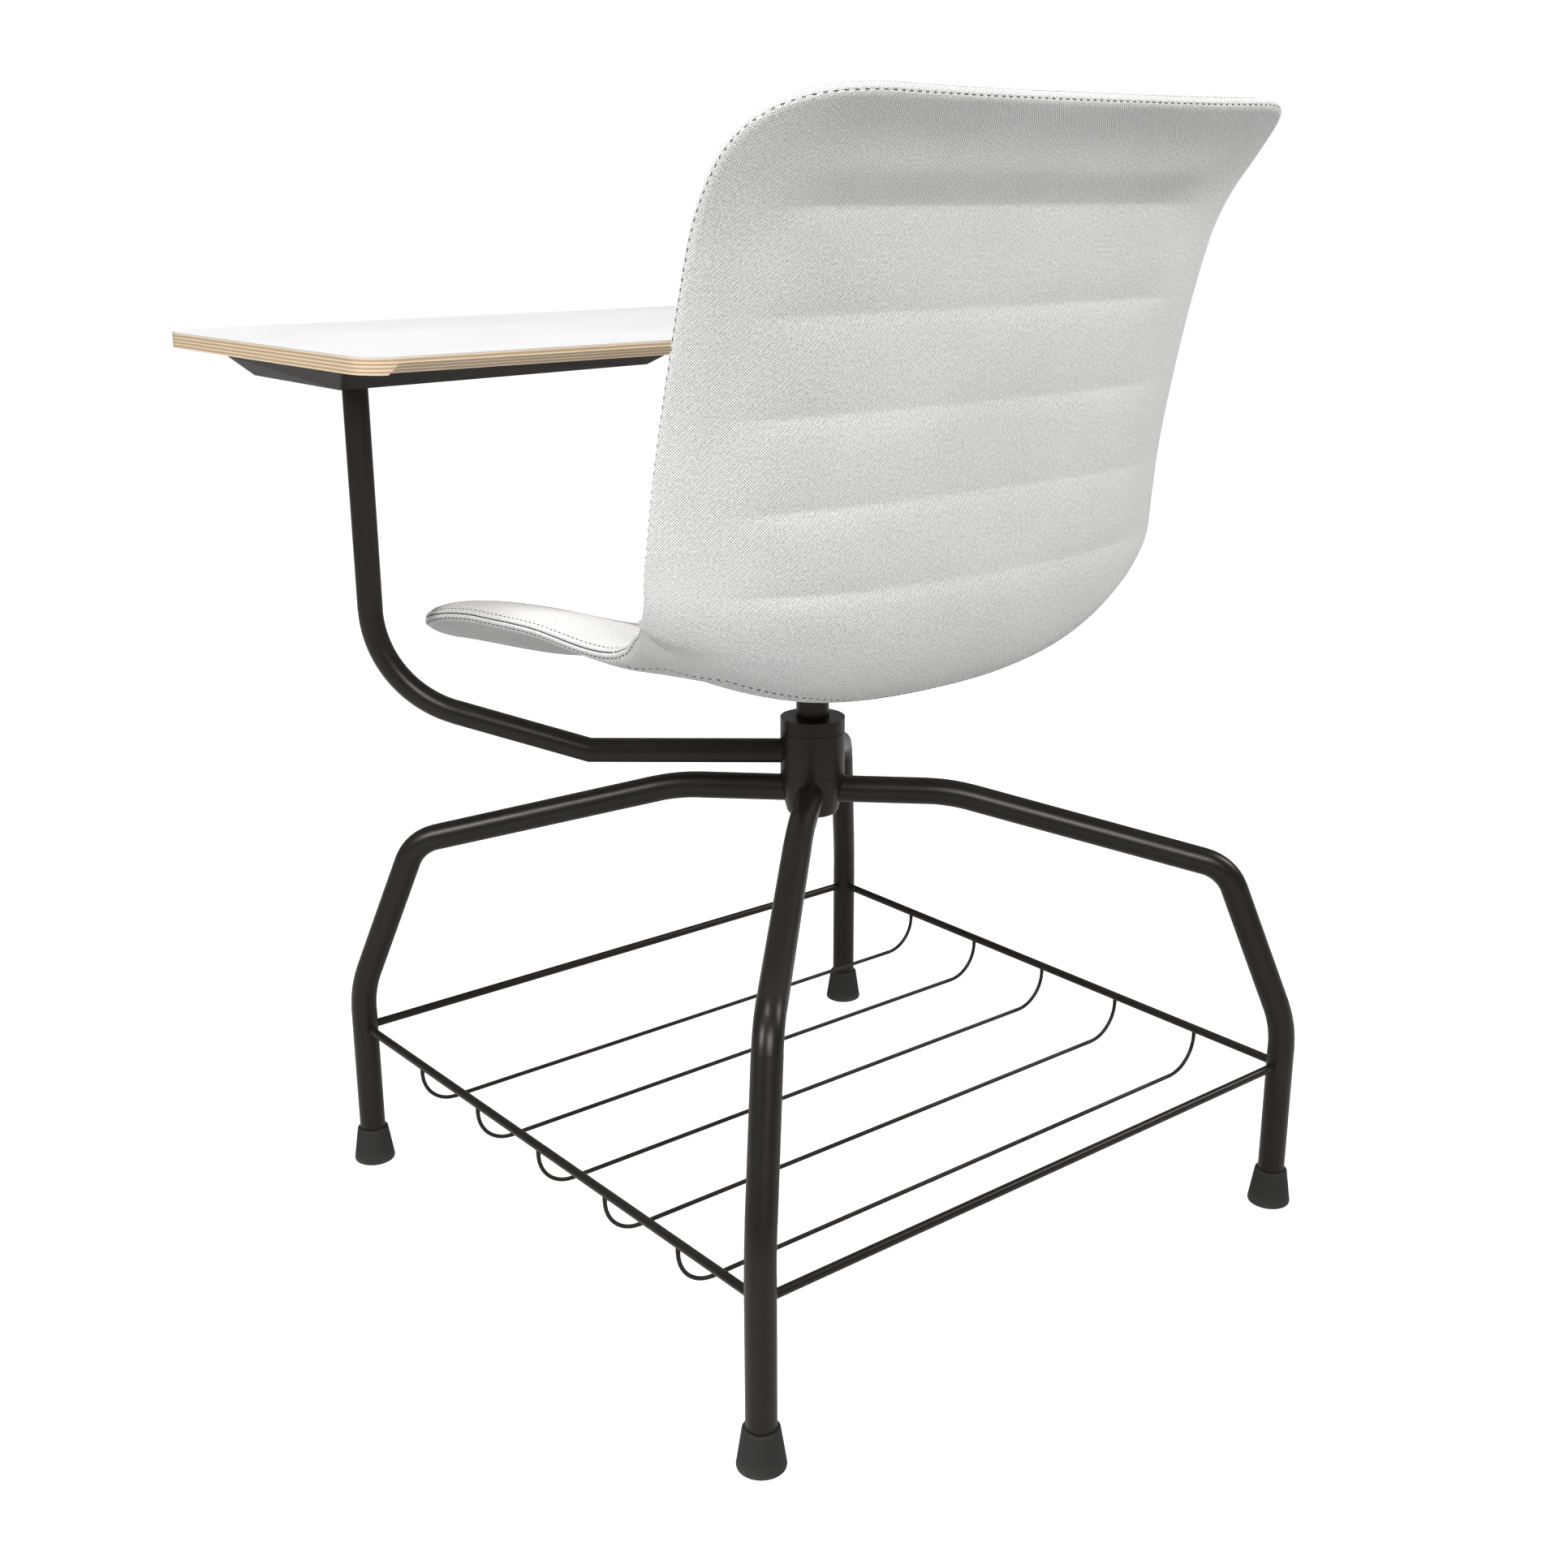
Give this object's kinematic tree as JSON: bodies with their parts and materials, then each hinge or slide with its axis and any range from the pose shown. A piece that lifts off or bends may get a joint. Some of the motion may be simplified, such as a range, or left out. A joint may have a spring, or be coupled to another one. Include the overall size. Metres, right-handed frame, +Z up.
{
  "type": "student desk chair",
  "caption": "Swivelling upholstered classroom chair on a bent-tube base with a wire book basket and a writing tablet on a swinging side arm.",
  "frame": {"origin": "on the floor, in the middle of the outline that the chair stands in, seen from above", "axes": "+Z up, -Y towards the front of the seat, +X towards the sitter's left"},
  "size_m": [0.604, 0.8224, 0.8875],
  "materials": {
    "powder_coat": "satin",
    "bright_steel": "satin",
    "bush_plastic": "matte",
    "foot_rubber": "matte",
    "core_plastic": "matte",
    "seat_fabric": "woven",
    "birch_ply": "clear lacquer",
    "white_laminate": "satin"
  },
  "bodies": {
    "base": {"hub_socket": "powder_coat", "hub_stem": "bright_steel", "hub_ring": "powder_coat", "washer_lower": "bush_plastic", "washer_upper": "bush_plastic", "spindle_thrust_washer": "bush_plastic", "spindle_bush_lower": "bush_plastic", "spindle_bush_upper": "bush_plastic", "leg_front_left": "powder_coat", "leg_front_right": "powder_coat", "leg_rear_left": "powder_coat", "leg_rear_right": "powder_coat", "foot_front_left": "foot_rubber", "foot_front_right": "foot_rubber", "foot_rear_left": "foot_rubber", "foot_rear_right": "foot_rubber", "rail_front": "powder_coat", "rail_rear": "powder_coat", "rail_left": "powder_coat", "rail_right": "powder_coat", "basket_wire_1": "powder_coat", "basket_wire_2": "powder_coat", "basket_wire_3": "powder_coat", "basket_wire_4": "powder_coat", "basket_wire_5": "powder_coat"},
    "seat": {"spindle": "powder_coat", "spindle_bolt": "bright_steel", "bolt_washer": "bright_steel", "seat_plate": "bright_steel", "seat_screws": "bright_steel", "shell_core": "core_plastic", "front_upholstery": "seat_fabric", "rear_upholstery": "seat_fabric"},
    "tablet_arm": {"arm_collar": "powder_coat", "collar_bush_lower": "bush_plastic", "collar_bush_upper": "bush_plastic", "arm_tube": "powder_coat", "tablet_pan": "powder_coat", "tablet_board": "birch_ply", "tablet_laminate": "white_laminate", "tablet_screws": "bright_steel"}
  },
  "joints": [
    {"name": "seat_swivel", "type": "hinge", "parent": "base", "child": "seat", "pos_m": [0, 0.11575, 0.43], "axis": [0, 0, 1], "continuous": true},
    {"name": "arm_swing", "type": "hinge", "parent": "seat", "child": "tablet_arm", "pos_m": [0, 0.11575, 0.39], "axis": [0, 0, 1], "range_deg": [-10, 50]}
  ]
}
